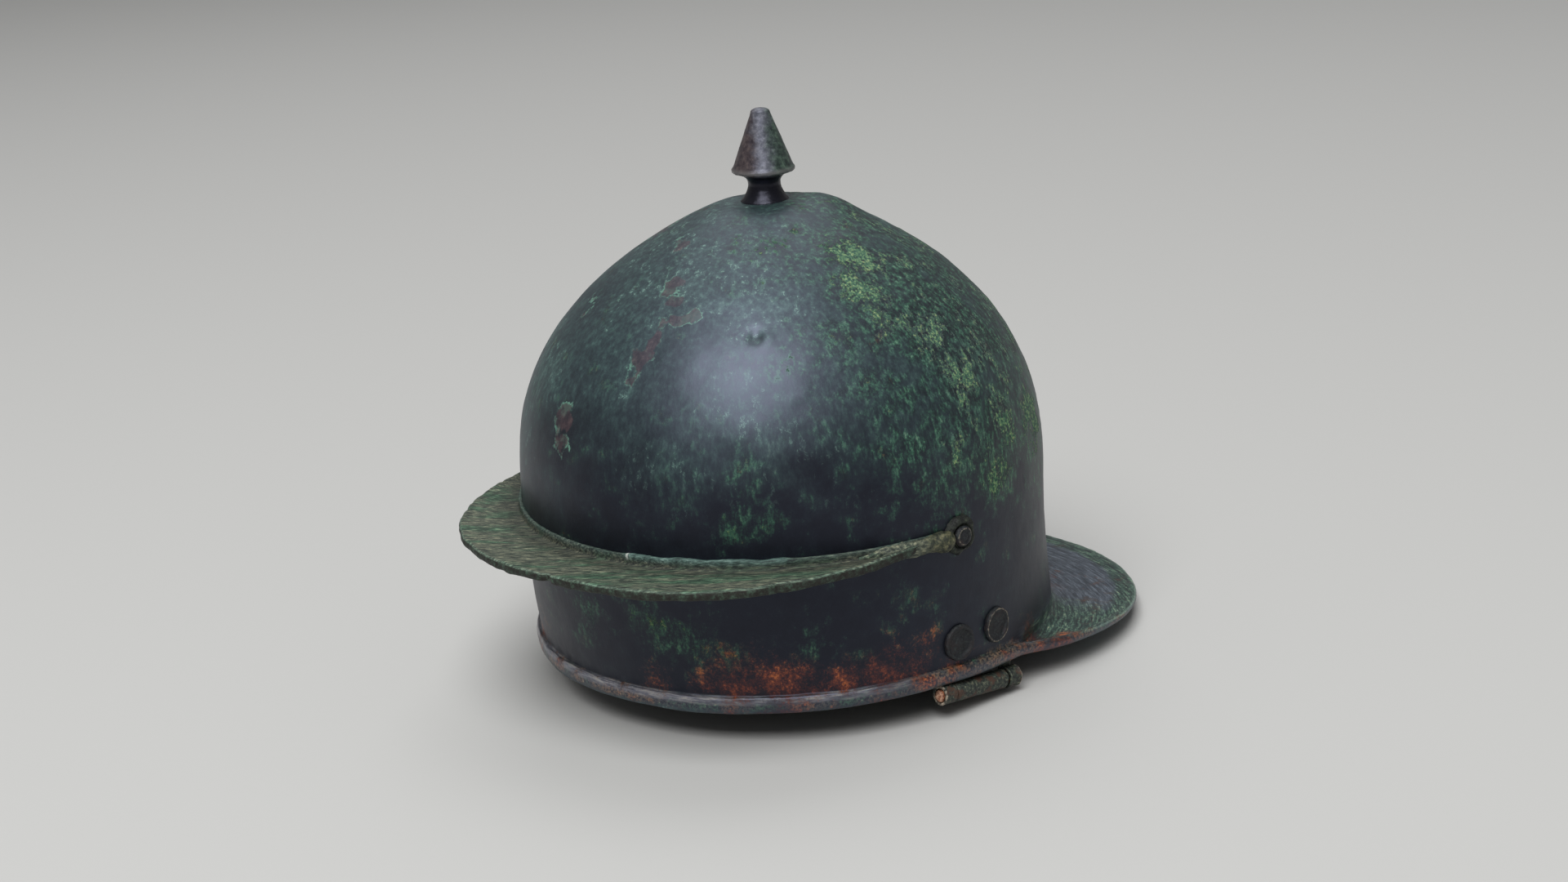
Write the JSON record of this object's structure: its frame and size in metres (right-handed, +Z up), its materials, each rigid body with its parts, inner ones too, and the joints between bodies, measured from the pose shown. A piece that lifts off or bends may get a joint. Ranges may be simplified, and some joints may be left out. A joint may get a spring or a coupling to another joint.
{
  "type": "roman legionary helmet",
  "caption": "Excavated Roman infantry helmet: round bronze bowl with neck guard, brow guard, turned crown knob, torn cheek guard hinges and a tie ring.",
  "frame": {"origin": "centre of the head opening: on the bowl's axis, in the plane of the rim's underside at the front", "axes": "+Z up along the bowl's axis to the knob, -Y to the front (brow guard), +X to the wearer's left"},
  "size_m": [0.232, 0.301, 0.2265],
  "materials": {
    "hammered_bronze": "hammered bronze sheet under a dark green-black patina, satin",
    "worn_bronze_plate": "bronze plate with a thin grey-green patina, rubbed along its edge",
    "turned_bronze": "cast and turned bronze, grey-brown patina",
    "bronze_fittings": "small bronze pieces with a brown-green patina",
    "bronze_rivets": "bronze rivets, rubbed on their rims",
    "hinge_bronze": "bronze hinge sheet with brown and green corrosion",
    "rusted_iron": "iron pin under an orange-brown rust crust"
  },
  "bodies": {
    "helmet": {"bowl": "hammered_bronze", "brow_guard": "worn_bronze_plate", "crest_knob": "turned_bronze", "crest_rove": "bronze_fittings", "tie_stud": "bronze_fittings", "brow_rivet_left": "bronze_rivets", "brow_rove_left": "bronze_fittings", "hinge_leaf_left": "hinge_bronze", "hinge_pin_left": "rusted_iron", "hinge_rivet_left_front": "bronze_rivets", "hinge_rove_left_front": "bronze_fittings", "hinge_rivet_left_rear": "bronze_rivets", "hinge_rove_left_rear": "bronze_fittings", "brow_rivet_right": "bronze_rivets", "brow_rove_right": "bronze_fittings", "hinge_leaf_right": "hinge_bronze", "hinge_pin_right": "rusted_iron", "hinge_rivet_right_front": "bronze_rivets", "hinge_rove_right_front": "bronze_fittings", "hinge_rivet_right_rear": "bronze_rivets", "hinge_rove_right_rear": "bronze_fittings"},
    "cheek_hinge_left": {"cheek_knuckle_left": "hinge_bronze"},
    "cheek_hinge_right": {"cheek_knuckle_right": "hinge_bronze"},
    "tie_ring": {"tie_ring": "bronze_fittings"}
  },
  "joints": [
    {"name": "left_cheek_hinge", "type": "hinge", "parent": "helmet", "child": "cheek_hinge_left", "pos_m": [0.10225, -0.011, -0.00625], "axis": [-0.1557, -0.9819, 0.1078], "range_deg": [-45, 180]},
    {"name": "right_cheek_hinge", "type": "hinge", "parent": "helmet", "child": "cheek_hinge_right", "pos_m": [-0.10225, -0.011, -0.00625], "axis": [-0.1557, 0.9819, -0.1078], "range_deg": [-45, 180]},
    {"name": "tie_ring_swing", "type": "hinge", "parent": "helmet", "child": "tie_ring", "pos_m": [0, 0.12588, -0.01137], "axis": [-1, 0, 0], "range_deg": [0, 180]}
  ]
}
